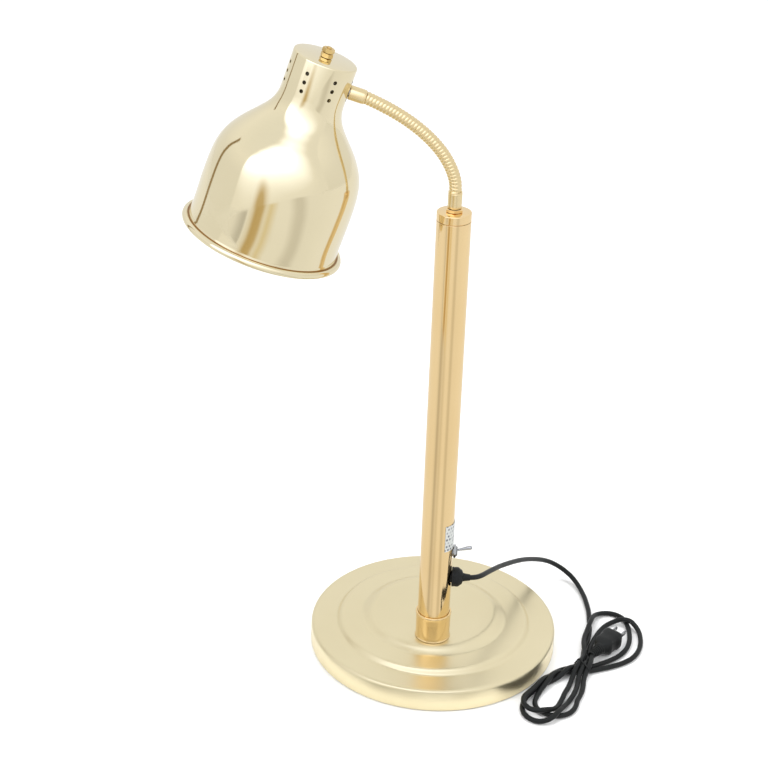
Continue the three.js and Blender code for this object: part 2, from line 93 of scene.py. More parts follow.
def remap(nt, value, lo, hi):
    n = nt.nodes.new("ShaderNodeMapRange")
    n.inputs["To Min"].default_value = lo
    n.inputs["To Max"].default_value = hi
    nt.links.new(value, n.inputs["Value"])
    return n.outputs["Result"]


def bump(nt, bsdf, height, strength, distance):
    n = nt.nodes.new("ShaderNodeBump")
    n.inputs["Strength"].default_value = strength
    n.inputs["Distance"].default_value = distance
    nt.links.new(height, n.inputs["Height"])
    nt.links.new(n.outputs["Normal"], bsdf.inputs["Normal"])


def coords(nt, scale=(1, 1, 1)):
    t = nt.nodes.new("ShaderNodeTexCoord")
    mp = nt.nodes.new("ShaderNodeMapping")
    mp.inputs["Scale"].default_value = scale
    nt.links.new(t.outputs["Object"], mp.inputs["Vector"])
    return mp.outputs["Vector"]


def noise(nt, vec, scale, detail=4.0, rough=0.5):
    n = put(nt, "ShaderNodeTexNoise", Scale=scale, Detail=detail, Roughness=rough)
    nt.links.new(vec, n.inputs["Vector"])
    return n.outputs["Fac"]


def metal(name, dark, light, r0, r1, wave=0.03, fine=260.0, stretch=(1, 1, 1)):
    """Polished or turned metal: slow tint drift, patchy gloss, faint waviness and hairlines."""
    mat, nt, b = principled(name)
    b.inputs["Metallic"].default_value = 1.0
    v = coords(nt)
    nt.links.new(ramp(nt, noise(nt, v, 9.0, 3.0), [(0.3, dark), (0.7, light)]), b.inputs["Base Color"])
    hair = noise(nt, coords(nt, stretch), fine, 6.0, 0.65)
    mix = nt.nodes.new("ShaderNodeMath")
    mix.operation = "MULTIPLY"
    nt.links.new(noise(nt, v, 22.0, 5.0), mix.inputs[0])
    nt.links.new(hair, mix.inputs[1])
    nt.links.new(remap(nt, mix.outputs[0], r0, r1 + (r1 - r0)), b.inputs["Roughness"])
    bump(nt, b, noise(nt, v, 30.0, 2.0), wave, 0.0006)
    return mat


def plastic(name, dark, light, r0, r1, grain=900.0, strength=0.12, coat=0.0):
    """Moulded plastic or rubber: fine grain, uneven gloss, slight tint drift."""
    mat, nt, b = principled(name)
    v = coords(nt)
    nt.links.new(ramp(nt, noise(nt, v, 40.0, 4.0), [(0.3, dark), (0.7, light)]), b.inputs["Base Color"])
    nt.links.new(remap(nt, noise(nt, v, 120.0, 4.0), r0, r1), b.inputs["Roughness"])
    b.inputs["Coat Weight"].default_value = coat
    b.inputs["Coat Roughness"].default_value = 0.25
    bump(nt, b, noise(nt, v, grain, 3.0), strength, 0.0002)
    return mat


GOLD = metal("gold_shell_m", (0.79, 0.70, 0.46), (0.83, 0.74, 0.50), 0.29, 0.36, 0.02, 300.0)
GOLD_SHADE = metal("gold_shade_m", (0.81, 0.72, 0.49), (0.85, 0.76, 0.53), 0.05, 0.10, 0.015, 240.0, (1, 1, 0.2))
GOLD_TUBE = metal("gold_tube_m", (0.87, 0.64, 0.33), (0.90, 0.68, 0.37), 0.06, 0.11, 0.02, 300.0, (1, 1, 0.1))
GOLD_HOSE = metal("gold_hose_m", (0.78, 0.62, 0.34), (0.83, 0.68, 0.40), 0.16, 0.26, 0.03)
# painted shadow: dark brown, rougher gold for the crease between the shade's wall and its rolled bead
CREASE_PAINTED_SHADOW = metal("shade_crease_painted_shadow_m", (0.30, 0.15, 0.04), (0.38, 0.20, 0.07), 0.30, 0.45, 0.03)
BRASS = metal("brass_m", (0.70, 0.50, 0.20), (0.78, 0.58, 0.26), 0.16, 0.28, 0.04)
STEEL = metal("steel_m", (0.50, 0.50, 0.51), (0.60, 0.60, 0.60), 0.28, 0.42, 0.05)
CHROME = metal("chrome_m", (0.40, 0.41, 0.42), (0.60, 0.61, 0.62), 0.16, 0.26, 0.03)
IRON = plastic("iron_m", (0.025, 0.024, 0.023), (0.06, 0.055, 0.05), 0.6, 0.85, 260.0, 0.5)
FOAM = plastic("foam_m", (0.012, 0.012, 0.012), (0.025, 0.025, 0.024), 0.8, 0.98, 1400.0, 0.5)
BLACK = plastic("black_plastic_m", (0.006, 0.007, 0.007), (0.012, 0.013, 0.013), 0.42, 0.58, 1300.0, 0.18, 0.0)
JACKET = plastic("cord_jacket_m", (0.006, 0.007, 0.007), (0.011, 0.012, 0.012), 0.34, 0.46, 700.0, 0.10, 0.0)
for dark in (BLACK, JACKET):
    dark.node_tree.nodes["Principled BSDF"].inputs["Specular IOR Level"].default_value = 0.22
WIRE = plastic("wire_m", (0.05, 0.05, 0.052), (0.08, 0.08, 0.082), 0.4, 0.6, 800.0, 0.2)
PORCELAIN = plastic("porcelain_m", (0.78, 0.75, 0.68), (0.84, 0.82, 0.76), 0.12, 0.25, 90.0, 0.04, 0.6)
FROST = plastic("frosted_glass_m", (0.80, 0.79, 0.75), (0.88, 0.87, 0.83), 0.25, 0.4, 1500.0, 0.15, 0.4)
MIRROR = metal("mirror_glass_m", (0.72, 0.72, 0.72), (0.80, 0.80, 0.79), 0.10, 0.2, 0.04)


def label_material():
    mat, nt, b = principled("label_m")
    uv = nt.nodes.new("ShaderNodeUVMap")
    uv.uv_map = "UVMap"
    br = put(nt, "ShaderNodeTexBrick", Scale=1.0)
    br.inputs["Color1"].default_value = (0.06, 0.07, 0.10, 1)
    br.inputs["Color2"].default_value = (0.55, 0.57, 0.56, 1)
    br.inputs["Mortar"].default_value = (0.58, 0.60, 0.58, 1)
    br.inputs["Mortar Size"].default_value = 0.04
    br.inputs["Mortar Smooth"].default_value = 0.6
    br.inputs["Brick Width"].default_value = 0.13
    br.inputs["Row Height"].default_value = 0.135
    nt.links.new(uv.outputs["UV"], br.inputs["Vector"])
    nt.links.new(br.outputs["Color"], b.inputs["Base Color"])
    nt.links.new(remap(nt, noise(nt, coords(nt), 150.0), 0.35, 0.55), b.inputs["Roughness"])
    bump(nt, b, noise(nt, coords(nt), 500.0), 0.08, 0.0001)
    return mat


LABEL = label_material()


# ------------------------------------------------------------------ mesh helpers (millimetres in, metres out)
def make(name, verts, faces, matrix=None, sharp=32.0, mats=(), face_mat=None, uvs=None):
    me = bpy.data.meshes.new(name)
    v = np.asarray(verts, float) * MM
    me.from_pydata(v.tolist(), [], [list(map(int, f)) for f in faces])
    if uvs is not None:
        layer = me.uv_layers.new(name="UVMap")
        for loop in me.loops:
            layer.data[loop.index].uv = uvs[loop.vertex_index]
    bm = bmesh.new()
    bm.from_mesh(me)
    bmesh.ops.recalc_face_normals(bm, faces=bm.faces)
    for f in bm.faces:
        f.smooth = True
    lim = math.radians(sharp)
    for e in bm.edges:
        e.smooth = len(e.link_faces) == 2 and e.calc_face_angle(0.0) < lim
    bm.to_mesh(me)
    bm.free()
    if matrix is not None:
        me.transform(matrix)
    for mt in mats:
        me.materials.append(mt)
    if face_mat is not None:
        for p in me.polygons:
            p.material_index = face_mat(p)
    o = bpy.data.objects.new(name, me)
    bpy.context.scene.collection.objects.link(o)
    return o


def remark(o, sharp=32.0):
    me = o.data
    bm = bmesh.new()
    bm.from_mesh(me)
    lim = math.radians(sharp)
    for f in bm.faces:
        f.smooth = True
    for e in bm.edges:
        e.smooth = len(e.link_faces) == 2 and e.calc_face_angle(0.0) < lim
    bm.to_mesh(me)
    bm.free()


def grid_faces(rows, cols, wrap_rows=False, wrap_cols=True, base=0):
    out = []
    for i in range(rows if wrap_rows else rows - 1):
        a, b = i, (i + 1) % rows
        for j in range(cols if wrap_cols else cols - 1):
            c, d = j, (j + 1) % cols
            out.append((base + a * cols + c, base + a * cols + d, base + b * cols + d, base + b * cols + c))
    return out


def lathe(name, profile, seg, matrix=None, sharp=32.0, mats=(), face_mat=None, radius=None):
    """Revolved about Z. A profile off the axis is a closed section; one that starts and ends on it is a solid."""
    verts, rings = [], []
    for r, z in profile:
        if r < 1e-6:
            rings.append([len(verts)])
            verts.append((0, 0, z))
        else:
            rings.append(list(range(len(verts), len(verts) + seg)))
            for j in range(seg):
                t = 2 * math.pi * j / seg
                rr = r if radius is None else radius(r, z, t)
                verts.append((rr * math.cos(t), rr * math.sin(t), z))
    faces = []
    closed = profile[0][0] > 1e-6
    pairs = list(zip(rings, rings[1:] + rings[:1])) if closed else list(zip(rings, rings[1:]))
    for a, b in pairs:
        if len(a) == 1 and len(b) == 1:
            continue
        for j in range(seg):
            k = (j + 1) % seg
            if len(a) == 1:
                faces.append((a[0], b[k], b[j]))
            elif len(b) == 1:
                faces.append((a[j], a[k], b[0]))
            else:
                faces.append((a[j], a[k], b[k], b[j]))
    return make(name, verts, faces, matrix, sharp, mats, face_mat)


def soft(points, n=5, corners=()):
    """Points refined along a centripetal Catmull-Rom line, broken at the named corner indices."""
    p = np.array(points, float)
    out = []
    cuts = [0, *sorted(c for c in corners if 0 < c < len(p) - 1), len(p) - 1]
    for s, e in zip(cuts, cuts[1:]):
        run = p[s : e + 1]
        if len(run) == 2:
            out += [tuple(run[0])]
            continue
        ext = np.vstack([2 * run[0] - run[1], run, 2 * run[-1] - run[-2]])
        for i in range(1, len(ext) - 2):
            p0, p1, p2, p3 = ext[i - 1 : i + 3]
            t0 = 0.0
            t1 = t0 + max(np.linalg.norm(p1 - p0), 1e-6) ** 0.5
            t2 = t1 + max(np.linalg.norm(p2 - p1), 1e-6) ** 0.5
            t3 = t2 + max(np.linalg.norm(p3 - p2), 1e-6) ** 0.5
            for k in range(n):
                t = t1 + (t2 - t1) * k / n
                a1 = (t1 - t) / (t1 - t0) * p0 + (t - t0) / (t1 - t0) * p1
                a2 = (t2 - t) / (t2 - t1) * p1 + (t - t1) / (t2 - t1) * p2
                a3 = (t3 - t) / (t3 - t2) * p2 + (t - t2) / (t3 - t2) * p3
                b1 = (t2 - t) / (t2 - t0) * a1 + (t - t0) / (t2 - t0) * a2
                b2 = (t3 - t) / (t3 - t1) * a2 + (t - t1) / (t3 - t1) * a3
                out.append(tuple((t2 - t) / (t2 - t1) * b1 + (t - t1) / (t2 - t1) * b2))
    out.append(tuple(p[-1]))
    return out


def hex_radius(af, theta):
    t = (theta + math.pi / 6) % (math.pi / 3) - math.pi / 6
    return af / 2 / math.cos(t)


def nut(name, af, bore, z0, z1, matrix, mat, chamfer=30.0, seg=96):
    """Hex nut with turned, chamfered corners and a chamfered thread hole. Its flats face 0, 60, 120 degrees."""
    verts, rows = [], []
    k = math.tan(math.radians(chamfer))
    hz = (z1 - z0) / 2

    def add(fn):
        rows.append(1)
        for j in range(seg):
            t = 2 * math.pi * j / seg
            r, z = fn(t)
            verts.append((r * math.cos(t), r * math.sin(t), z))

    flat = af / 2 * 0.97
    add(lambda t: (bore, z0 + 0.5))
    add(lambda t: (bore + 0.5, z0))
    add(lambda t: (flat, z0))
    add(lambda t: (hex_radius(af, t), min(z0 + (hex_radius(af, t) - flat) * k, z0 + hz)))
    add(lambda t: (hex_radius(af, t), max(z1 - (hex_radius(af, t) - flat) * k, z0 + hz)))
    add(lambda t: (flat, z1))
    add(lambda t: (bore + 0.5, z1))
    add(lambda t: (bore, z1 - 0.5))
    return make(name, verts, grid_faces(len(rows), seg, True, True), matrix, 24.0, [mat])


def threaded(name, r_in, r_out, pitch, z0, z1, matrix, mat, seg=40, tip=0.6):
    """Threaded rod: a helical ridge on a solid core, chamfered at both ends."""
    n = max(8, int((z1 - z0) / pitch * 8))
    verts, rows = [(0, 0, z0)], n + 1
    for i in range(rows):
        z = z0 + (z1 - z0) * i / n
        for j in range(seg):
            t = 2 * math.pi * j / seg
            f = (z / pitch - j / seg) % 1.0
            r = r_in + (r_out - r_in) * (1 - abs(2 * f - 1))
            e = min(z - z0, z1 - z)
            r = min(r, r_in - 0.1 + e) if e < tip else r
            verts.append((r * math.cos(t), r * math.sin(t), z))
    faces = grid_faces(rows, seg, False, True, 1)
    last = len(verts)
    verts.append((0, 0, z1))
    for j in range(seg):
        k = (j + 1) % seg
        faces.append((0, 1 + k, 1 + j))
        faces.append((last, 1 + (rows - 1) * seg + j, 1 + (rows - 1) * seg + k))
    return make(name, verts, faces, matrix, 50.0, [mat])


def cut(o, cutters, sharp=32.0):
    """Subtracts each cutter from o and removes the cutters."""
    for c in cutters:
        md = o.modifiers.new("cut", "BOOLEAN")
        md.operation, md.solver, md.object = "DIFFERENCE", "EXACT", c
    dg = bpy.context.evaluated_depsgraph_get()
    dg.update()
    me = bpy.data.meshes.new_from_object(o.evaluated_get(dg))
    o.modifiers.clear()
    old = o.data
    o.data = me
    bpy.data.meshes.remove(old)
    for c in cutters:
        d = c.data
        bpy.data.objects.remove(c)
        bpy.data.meshes.remove(d)
    remark(o, sharp)
    return o


def rod(radius, z0, z1, matrix, seg=40):
    return lathe("cutter", [(0, z0), (radius, z0), (radius, z1), (0, z1)], seg, matrix)


def T(x, y, z):
    return Matrix.Translation((x * MM, y * MM, z * MM))


ROT_X = Matrix.Rotation(math.pi / 2, 4, "Y")  # Z axis turned to +X


# ------------------------------------------------------------------ the mains lead, its gland, tie and plug
CORD_D = 6.2
LEAD = [
    (33.0, -53.0, 125.0), (38.0, -53.0, 124.9), (44.0, -51.2, 124.1), (50.0, -45.9, 122.0), (55.4, -37.6, 119.2),
    (60.6, -26.5, 115.6), (65.8, -14.0, 111.2), (70.6, -2.0, 106.6), (76.5, 14.0, 99.9), (82.3, 26.9, 94.5),
    (90.1, 43.9, 87.2), (97.9, 60.8, 79.5), (105.7, 77.4, 71.5), (113.5, 93.6, 63.0), (121.6, 109.4, 54.0),
    (130.3, 124.4, 44.8), (139.9, 138.3, 35.3), (151.6, 149.0, 25.2), (165.4, 151.8, 15.4), (178.2, 143.4, 8.6),
    (187.2, 126.2, 4.9),
]
HANK = [
    (193.0, 105.6, 3.6), (194.7, 95.3, 3.3), (196.0, 84.9, 3.2), (197.0, 74.4, 3.2), (197.2, 64.0, 3.1), (196.9, 53.5, 3.1),
    (196.8, 43.0, 3.1), (196.5, 32.5, 3.1), (195.5, 22.1, 3.1), (193.6, 11.8, 3.1), (190.9, 1.7, 3.1), (188.2, -8.5, 3.1),
    (186.4, -18.8, 3.1), (185.1, -29.2, 3.1), (182.5, -39.3, 3.1), (175.8, -47.3, 3.1), (166.9, -52.7, 3.1), (157.7, -57.6, 3.1),
    (149.6, -64.3, 3.1), (143.7, -72.7, 4.4), (137.8, -80.9, 7.2), (132.6, -89.7, 9.3), (127.4, -98.8, 9.6), (121.8, -107.7, 9.3),
    (116.0, -116.4, 9.4), (111.3, -125.6, 9.7), (111.2, -136.0, 9.4), (117.0, -144.4, 8.5), (126.6, -148.3, 8.8), (136.8, -146.9, 9.6),
    (145.4, -141.7, 7.1), (150.6, -133.3, 4.2), (154.2, -123.5, 3.1), (157.7, -113.6, 3.1), (160.5, -103.8, 3.1), (164.4, -94.0, 3.1),
    (167.6, -84.1, 3.6), (170.6, -74.2, 5.6), (173.8, -64.8, 8.9), (177.7, -55.5, 11.4), (181.5, -45.9, 10.8), (185.2, -36.2, 9.8),
    (186.7, -25.9, 9.5), (186.8, -15.4, 9.6), (186.9, -5.0, 9.1), (188.2, 5.4, 8.5), (190.6, 15.6, 8.4), (193.4, 25.7, 9.0),
    (196.1, 35.8, 9.5), (198.9, 45.9, 9.2), (202.0, 55.7, 7.4), (207.1, 64.4, 5.0), (215.5, 70.0, 3.6), (225.8, 70.9, 3.1),
    (235.1, 66.4, 3.1), (241.3, 58.4, 3.1), (244.0, 48.5, 3.1), (245.5, 38.2, 3.1), (245.9, 27.8, 3.1), (245.4, 17.3, 3.1),
    (243.8, 7.0, 3.1), (240.8, -3.1, 3.1), (236.2, -12.4, 3.1), (230.0, -20.9, 3.1), (222.6, -28.3, 3.1), (214.4, -34.8, 3.1),
    (205.7, -40.7, 3.1), (196.9, -46.3, 3.1), (187.5, -50.8, 3.2), (177.7, -53.9, 4.7), (169.5, -58.5, 8.7), (162.8, -66.4, 9.5),
    (156.1, -73.6, 6.2), (147.8, -79.5, 3.5), (139.6, -85.9, 3.1), (131.7, -92.8, 3.1), (124.8, -100.6, 3.1), (118.8, -109.2, 3.1),
    (113.9, -118.4, 3.1), (110.6, -128.4, 3.1), (109.7, -138.8, 3.1), (112.0, -148.9, 3.1), (118.2, -157.2, 3.1), (127.4, -161.8, 3.5),
    (137.3, -161.6, 5.4), (145.6, -156.8, 8.1), (151.4, -148.5, 9.4), (155.8, -139.3, 7.2), (160.1, -130.1, 4.6), (164.4, -120.7, 3.2),
    (168.6, -111.0, 3.1), (172.3, -101.2, 3.1), (175.1, -91.2, 3.1), (177.0, -80.9, 4.0), (178.9, -70.9, 6.4), (182.3, -61.4, 9.1),
    (186.0, -51.8, 9.6), (189.1, -42.3, 6.6), (191.2, -32.5, 3.9), (192.6, -22.2, 3.1), (194.3, -11.8, 3.1), (196.9, -1.7, 3.1),
    (200.0, 8.3, 3.1), (203.8, 18.1, 3.1), (208.0, 27.7, 3.1), (213.0, 36.9, 3.1), (219.5, 45.1, 3.3), (228.2, 50.5, 5.0),
    (237.9, 51.1, 8.4), (247.6, 47.6, 9.0), (254.7, 40.8, 5.6), (258.1, 31.2, 3.5), (259.0, 20.8, 3.1), (258.6, 10.3, 3.1),
    (256.9, -0.0, 3.1), (253.9, -10.0, 3.1), (249.3, -19.4, 3.1), (242.9, -27.7, 3.1), (235.1, -34.7, 3.1), (226.4, -40.5, 3.1),
    (217.2, -45.5, 3.1), (207.7, -50.0, 3.1), (198.0, -54.0, 3.1), (188.1, -57.4, 3.1), (178.1, -60.3, 3.1), (167.8, -62.0, 3.2),
    (158.0, -64.7, 5.0), (150.3, -70.7, 8.5), (145.1, -79.7, 9.8), (140.5, -89.0, 8.7), (135.1, -97.6, 6.2), (130.1, -106.5, 4.0),
    (126.3, -116.2, 3.1), (124.6, -126.5, 3.1), (127.0, -136.6, 3.1), (133.8, -144.0, 3.1), (142.8, -148.1, 3.1), (152.9, -148.5, 3.1),
    (162.2, -144.5, 3.1), (169.0, -136.7, 3.1), (173.0, -127.0, 3.1), (175.0, -117.0, 3.1), (178.6, -107.1, 3.1), (181.5, -97.0, 3.1),
    (183.2, -86.7, 3.1), (184.3, -76.3, 3.8), (186.8, -66.5, 6.3), (190.6, -57.4, 9.4), (193.4, -47.4, 10.5), (195.3, -37.2, 10.9),
    (199.3, -28.5, 11.3), (205.3, -20.0, 11.3),
]
ROUTE = LEAD + HANK
curve = bpy.data.curves.new("cord", "CURVE")
curve.dimensions = "3D"
curve.resolution_u = 6
curve.bevel_depth = CORD_D / 2 * MM
curve.bevel_resolution = 6
curve.use_fill_caps = True
sp = curve.splines.new("BEZIER")
sp.bezier_points.add(len(ROUTE) - 1)
P = np.array(ROUTE, float) * MM
for i, bp in enumerate(sp.bezier_points):
    bp.co = P[i]
    a, b = P[max(i - 1, 0)], P[min(i + 1, len(P) - 1)]
    d = (b - a) / max(np.linalg.norm(b - a), 1e-9)
    if i == 0:
        d = np.array([1.0, 0, 0])
    before = np.linalg.norm(P[i] - P[i - 1]) if i else 0.005
    after = np.linalg.norm(P[i + 1] - P[i]) if i < len(P) - 1 else 0.005
    bp.handle_left_type = bp.handle_right_type = "FREE"
    bp.handle_left, bp.handle_right = P[i] - d * before / 3, P[i] + d * after / 3
cord = bpy.data.objects.new("cord", curve)
bpy.context.scene.collection.objects.link(cord)
curve.materials.append(JACKET)
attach(cord, "stand")
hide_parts("cord_lead", "cord_hank", "lead_tail")

# strain relief: barbed neck in the column's wall, flange, and a stepped tapering nose
relief = lathe(
    "strain_relief_bush",
    [
        (3.35, 10.5), (6.6, 10.5), (7.2, 12.0), (7.7, 15.0), (7.7, 17.2), (7.2, 17.6), (7.2, 19.4), (11.2, 19.4), (11.7, 19.9),
        (11.7, 21.6), (11.4, 21.9), (11.4, 23.0), (11.6, 23.3), (11.6, 26.4), (11.3, 27.3), (10.6, 28.3), (9.5, 29.5),
        (8.7, 30.9), (7.6, 31.8), (6.0, 32.3), (5.1, 32.8), (4.7, 34.2), (4.35, 36.5), (4.05, 39.0), (3.75, 41.0), (3.35, 41.3),
    ],
    64, T(0, -53, 125) @ ROT_X, 30, [BLACK],
)
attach(relief, "stand")
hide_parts("strain_relief")

# plug frame: X along its axis
PLUG = T(203.6, -22.4, 11.3) @ Matrix.Rotation(math.atan2(46, 33), 4, "Z")
boot_prof = [(3.3, -16.0), (4.3, -16.0)]
x = -15.0
while x < 1.0:
    g = (x + 16) / 19
    r = 4.6 + 3.0 * g
    boot_prof += [(r - 0.1, x), (r, x + 0.45), (r + 0.05, x + 1.3), (r - 0.75, x + 1.65), (r - 0.75, x + 2.3)]
    x += 2.75
boot_prof += [(7.5, 2.2), (7.6, 4.5), (3.3, 4.5)]
boot = lathe("plug_boot_ribbed", boot_prof, 48, PLUG @ ROT_X, 40, [BLACK])
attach(boot, "stand")
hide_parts("plug_boot")


def super_section(w, h, n, seg):
    out = []
    for j in range(seg):
        t = 2 * math.pi * j / seg
        c, s = math.cos(t), math.sin(t)
        out.append((w * math.copysign(abs(c) ** (2 / n), c), h * math.copysign(abs(s) ** (2 / n), s)))
    return out


verts, rows, seg = [], 0, 64
stations = [
    (3.6, 6.6, 6.6, 2.2), (4.4, 7.6, 7.4, 2.4), (6.0, 9.0, 8.4, 2.8), (8.4, 10.6, 9.5, 3.4), (11.0, 11.6, 10.4, 4.2),
    (13.6, 11.9, 10.8, 4.6), (15.5, 11.2, 10.8, 4.8), (17.0, 10.9, 10.8, 4.8), (21.0, 10.9, 10.8, 4.8), (25.5, 11.0, 10.9, 4.8),
    (27.0, 11.8, 11.0, 5.0), (28.5, 12.0, 11.0, 5.2), (33.8, 12.0, 11.0, 5.4), (35.4, 11.8, 10.8, 5.2), (36.2, 11.3, 10.3, 5.0),
    (36.5, 10.4, 9.4, 4.6),
]
for xs, w, h, n in stations:
    for a, b in super_section(w, h, n, seg):
        verts.append((xs, a, b))
    rows += 1
faces = grid_faces(rows, seg)
faces.append(tuple(range(seg))[::-1])
faces.append(tuple((rows - 1) * seg + j for j in range(seg)))
plug_body = make("plug_moulding", verts, faces, PLUG, 38, [BLACK])
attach(plug_body, "stand")
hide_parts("plug_body")


def blade(name, y):
    """Flat blade with a rounded tip, eased edges and a locking hole."""
    outline = [(34.0, -3.1), (50.6, -3.1), (52.4, -2.5), (53.1, -1.4), (53.2, 1.4), (52.4, 2.5), (50.6, 3.1), (34.0, 3.1)]
    v, f, n = [], [], len(outline)
    for k, (yy, e) in enumerate(((-0.74, 0.22), (-0.52, 0.0), (0.52, 0.0), (0.74, 0.22))):
        for a, b in outline:
            v.append((a - (e if a > 50 else 0), y + yy, 2 + b * (1 - e / 3.1)))
    f = grid_faces(4, n)
    f.append(tuple(range(n)))
    f.append(tuple(3 * n + j for j in range(n))[::-1])
    o = make(name, v, f, PLUG, 25, [CHROME])
    hole = rod(1.55, -4, 4, PLUG @ T(48.4, y, 2) @ Matrix.Rotation(math.pi / 2, 4, "X"), 28)
    return cut(o, [hole], 25)


for nm, node, y in (("blade_a", "plug_blade_line", -6.35), ("blade_b", "plug_blade_neutral", 6.35)):
    o = blade(nm, y)
    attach(o, "stand")
    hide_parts(node)
pin = lathe(
    "ground_pin", [(0, 30), (2.35, 30), (2.35, 53.4), (2.2, 54.8), (1.7, 55.9), (1.0, 56.4), (0, 56.6)], 40,
    PLUG @ T(0, 0, -6.2) @ ROT_X, 30, [CHROME],
)
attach(pin, "stand")
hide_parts("plug_ground_pin")

# tie: a flat band pulled round the strands where they cross its plane
TIE = np.array([184.3, -54.8])
ACROSS, ALONG = np.array([0.586, -0.81]), np.array([0.81, 0.586])
hits = []
R = np.array(ROUTE, float)
for a, b in zip(R, R[1:]):
    fa, fb = (a[:2] - TIE) @ ALONG, (b[:2] - TIE) @ ALONG
    if fa * fb <= 0 and abs(fa - fb) > 1e-9:
        p = a + (b - a) * fa / (fa - fb)
        u = (p[:2] - TIE) @ ACROSS
        if abs(u) < 22:
            hits.append((u, p[2]))
pts = []
for u, z in hits:
    for k in range(48):
        t = 2 * math.pi * k / 48
        pts.append((u + (CORD_D / 2 + 0.75) * math.cos(t), z + (CORD_D / 2 + 0.75) * math.sin(t)))
pts.sort()


def half(points):
    h = []
    for p in points:
        while len(h) > 1 and (h[-1][0] - h[-2][0]) * (p[1] - h[-2][1]) - (h[-1][1] - h[-2][1]) * (p[0] - h[-2][0]) <= 0:
            h.pop()
        h.append(p)
    return h


hull = half(pts)[:-1] + half(pts[::-1])[:-1]
loop = []
for (u0, z0), (u1, z1) in zip(hull, hull[1:] + hull[:1]):
    n = max(1, int(math.hypot(u1 - u0, z1 - z0) / 1.2))
    for k in range(n):
        loop.append((u0 + (u1 - u0) * k / n, max(0.75, z0 + (z1 - z0) * k / n)))
verts, rows = [], len(loop)
for i, (u, z) in enumerate(loop):
    (ua, za), (ub, zb) = loop[i - 1], loop[(i + 1) % rows]
    tu, tz = ub - ua, zb - za
    ln = math.hypot(tu, tz) or 1
    nu, nz = tz / ln, -tu / ln
    for w, o_ in ((-1.35, 0.0), (-1.0, 0.45), (1.0, 0.45), (1.35, 0.0), (1.0, -0.45), (-1.0, -0.45)):
        q = TIE + (u + nu * o_) * ACROSS + w * ALONG
        verts.append((q[0], q[1], max(0.05, z + nz * o_)))
tie = make("cord_tie_band", verts, grid_faces(rows, 6, True, True), None, 40, [BLACK])
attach(tie, "stand")
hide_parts("cord_tie")

# ------------------------------------------------------------------ base
outer = soft(
    [
        (150, 1.0), (150, 21.0), (149.9, 22.8), (149.4, 24.6), (148.1, 26.2), (146.0, 27.2), (143.2, 27.5), (121.6, 27.6),
        (119.8, 27.9), (118.1, 28.8), (116.6, 30.4), (114.6, 32.5), (112.6, 33.6), (110.0, 34.0), (91.0, 34.3), (88.6, 34.5),
        (86.0, 35.4), (83.0, 37.1), (79.8, 39.3), (76.6, 41.0), (73.6, 41.8), (70.4, 42.0), (20, 42.0), (0, 42.0),
    ], 4, (1, 6, 7, 13, 14, 21, 22),
)
inner = [
    (0, 40.5), (70, 40.5), (76.2, 39.3), (82.4, 35.6), (87, 33.2), (90, 32.8), (110, 32.5), (113.4, 31.4), (117.2, 27.0),
    (120.2, 26.1), (143, 26.0), (146.6, 25.3), (148.5, 22.6), (148.5, 1.0),
]
# a shallow groove runs round the skirt's foot, where the sheet is turned in
prof = [(0, 42.0)] + list(reversed(outer))[1:] + [(149.2, 0.8)] + list(reversed(inner))
cover = lathe("base_cover_spun", prof, 224, None, 28, [GOLD])
cut(cover, [rod(5.6, 30, 50, T(0, -53, 0))], 28)
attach(cover, "stand")
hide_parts("base_cover")
pad = lathe("base_pad_foam", [(0, 0), (145.8, 0), (146.8, 0.4), (147, 1.0), (147, 1.7), (146.6, 2.0), (0, 2.0)], 160, None, 30, [FOAM])
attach(pad, "stand")
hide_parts("base_pad")

# ------------------------------------------------------------------ column
COL = T(0, -53, 0)
collar = lathe(
    "column_collar_spun",
    soft(
        [
            (19.3, 42.3), (21.0, 42.3), (21.2, 42.9), (20.6, 43.9), (20.5, 46), (20.6, 60), (20.85, 72.4), (20.9, 73.2), (21.25, 74.1),
            (21.35, 75.1), (21.2, 76.2), (20.7, 76.9), (20.0, 77.0), (19.3, 77.0),
        ], 3, (1, 4, 5, 6, 7, 12),
    ), 128, COL, 40, [GOLD_TUBE],
)
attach(collar, "stand")
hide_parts("column_collar")
tube = lathe("column_tube_drawn", [(17.5, 42.3), (19, 42.3), (19, 160), (19, 300), (19, 440), (19, 575.7), (18.7, 576), (17.5, 576)], 160, COL, 30, [GOLD_TUBE])
cut(tube, [rod(8, 5, 40, COL @ T(0, 0, 125) @ ROT_X), rod(6.3, 5, 40, COL @ T(0, 0, 160.6) @ ROT_X)], 30)
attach(tube, "stand")
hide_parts("column_tube")
cap = lathe(
    "column_cap_turned",
    [
        (5.4, 586), (17.8, 586), (18.3, 585.9), (18.7, 585.65), (18.92, 585.25), (19, 584.8), (19, 576.9), (18.75, 576.5), (18.2, 576.3), (17.2, 576.3),
        (17.2, 562), (15.4, 562), (15.4, 583.5), (5.4, 583.5),
    ], 160, COL, 30, [GOLD_TUBE],
)
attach(cap, "stand")
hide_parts("column_cap")
lock = nut("neck_lock_nut_hex", 17.4, 5.3, 586.25, 590.0, COL, GOLD_TUBE)
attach(lock, "stand")
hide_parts("neck_lock_nut")

